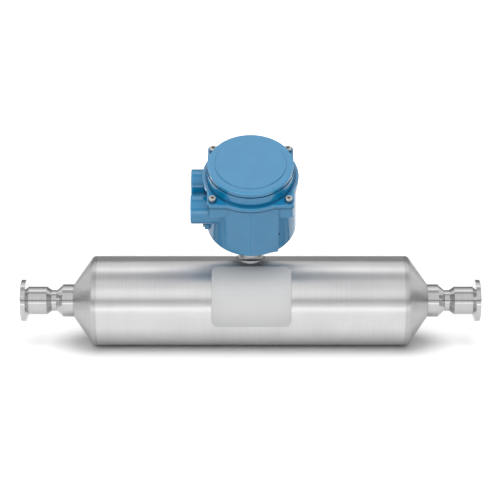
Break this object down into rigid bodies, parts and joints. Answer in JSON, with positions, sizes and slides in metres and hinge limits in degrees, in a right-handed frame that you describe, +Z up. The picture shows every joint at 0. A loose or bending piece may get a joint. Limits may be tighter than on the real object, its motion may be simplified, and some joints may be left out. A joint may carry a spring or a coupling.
{
  "type": "coriolis flow meter",
  "caption": "Straight-tube coriolis flow meter with clamp ferrule ends, a round steel case and a swivelling, angled electronics housing with a screwed lid.",
  "frame": {"origin": "centre of the inlet ferrule's sealing face, on the flow axis", "axes": "+X along the flow, from inlet to outlet; +Z up, along the neck; -Y to the front, towards which the housing leans"},
  "size_m": [0.551, 0.1476, 0.2602],
  "materials": {
    "case_steel": "fine satin finish, stainless steel",
    "polished_steel": "turned and polished stainless steel",
    "fastener_steel": "bright stainless steel fasteners",
    "coil_winding": "enamelled copper winding",
    "wiring_film": "amber polyimide film",
    "dark_plastic": "dark moulded plastic",
    "green_plastic": "green moulded plastic",
    "seal_rubber": "black rubber",
    "label_foil": "satin metal foil, blank",
    "blue_paint": "smooth gloss enamel on die-cast aluminium"
  },
  "bodies": {
    "sensor": {"case_tube": "case_steel", "inlet_end_cone": "case_steel", "outlet_end_cone": "case_steel", "inlet_adaptor": "polished_steel", "outlet_adaptor": "polished_steel", "inlet_ferrule": "polished_steel", "outlet_ferrule": "polished_steel", "flow_tube": "polished_steel", "reference_tube": "case_steel", "inlet_brace": "case_steel", "outlet_brace": "case_steel", "drive_coil": "coil_winding", "drive_magnet": "fastener_steel", "inlet_pickoff_coil": "coil_winding", "inlet_pickoff_magnet": "fastener_steel", "outlet_pickoff_coil": "coil_winding", "outlet_pickoff_magnet": "fastener_steel", "tube_temperature_sensor": "fastener_steel", "sensor_wiring_strip": "wiring_film", "neck": "case_steel", "neck_retaining_ring": "fastener_steel", "feedthrough": "fastener_steel", "feedthrough_pins": "fastener_steel", "sensor_plug": "dark_plastic", "label_plate": "label_foil"},
    "housing": {"housing_base": "blue_paint", "neck_seal": "seal_rubber", "swivel_lock_screw": "fastener_steel", "electronics_module": "dark_plastic", "module_screws": "fastener_steel", "module_lead": "dark_plastic", "terminal_block": "green_plastic", "terminal_screws": "fastener_steel", "inner_ground_screw": "fastener_steel", "outer_ground_screw": "fastener_steel", "lid_seal": "seal_rubber"},
    "lid": {"lid": "blue_paint", "lid_screw_1": "fastener_steel", "lid_screw_2": "fastener_steel", "lid_screw_3": "fastener_steel", "lid_screw_4": "fastener_steel"}
  },
  "joints": [
    {"name": "housing_swivel", "type": "hinge", "parent": "sensor", "child": "housing", "pos_m": [0.2755, 0, 0.0675], "axis": [0, 0, 1], "range_deg": [-180, 180]},
    {"name": "lid_lift", "type": "slide", "parent": "housing", "child": "lid", "axis": [0, -0.5, 0.866], "range_m": [0, 0.06]}
  ]
}
